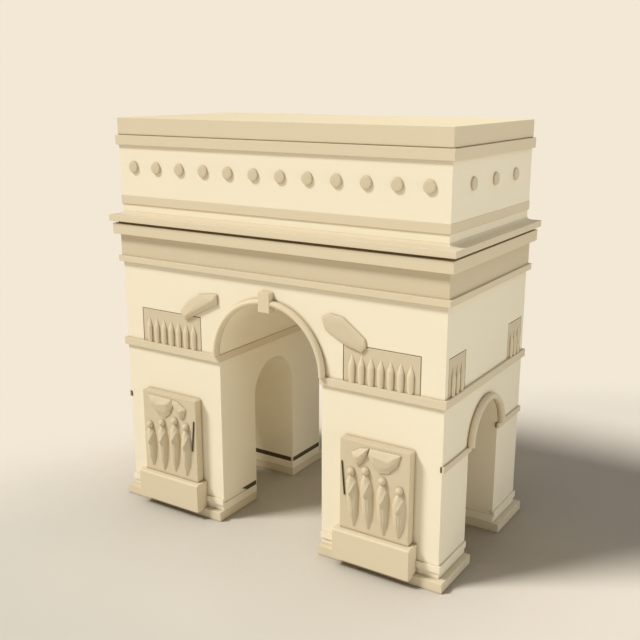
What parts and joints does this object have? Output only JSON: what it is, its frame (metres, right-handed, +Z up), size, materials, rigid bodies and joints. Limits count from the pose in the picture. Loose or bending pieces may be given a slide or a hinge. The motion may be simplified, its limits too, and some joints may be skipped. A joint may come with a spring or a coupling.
{
  "type": "scale model of a triumphal arch",
  "caption": "Scale model of a triumphal arch: solid masonry block with a tall central vault crossed by a lower one, relief panels, cornice and attic.",
  "frame": {"origin": "centre of the footprint at ground level", "axes": "+X along the long front, +Y from the front through the main passage, +Z up"},
  "size_m": [4.702, 2.621, 4.954],
  "materials": {
    "wall_stone": "smooth cream limestone ashlar, matt",
    "trim_stone": "smooth buff limestone for mouldings and carved work, matt",
    "dark_stone": "dark brown stone for joints, insets and bands, matt"
  },
  "bodies": {
    "root": {"plinth_blocks": "wall_stone", "plinth_dies": "wall_stone", "plinth_bands": "wall_stone", "piers": "wall_stone", "passage_bands": "dark_stone", "impost_backings": "dark_stone", "side_imposts": "trim_stone", "side_arches": "wall_stone", "side_archivolts": "trim_stone", "string_courses": "trim_stone", "main_arch": "wall_stone", "keystones": "trim_stone", "main_archivolts": "trim_stone", "frieze_panels": "trim_stone", "frieze_bars": "trim_stone", "spandrel_figures": "trim_stone", "relief_pedestals": "trim_stone", "relief_panels": "trim_stone", "relief_figures": "trim_stone", "relief_drapery": "trim_stone", "relief_staffs": "dark_stone", "architrave": "trim_stone", "entablature_frieze": "trim_stone", "cornice_bed": "trim_stone", "cornice_joint": "dark_stone", "cornice_slab": "trim_stone", "attic_base": "wall_stone", "attic_band": "trim_stone", "attic_wall": "wall_stone", "attic_cornice": "trim_stone", "parapet": "trim_stone", "attic_shields": "trim_stone"}
  },
  "joints": []
}
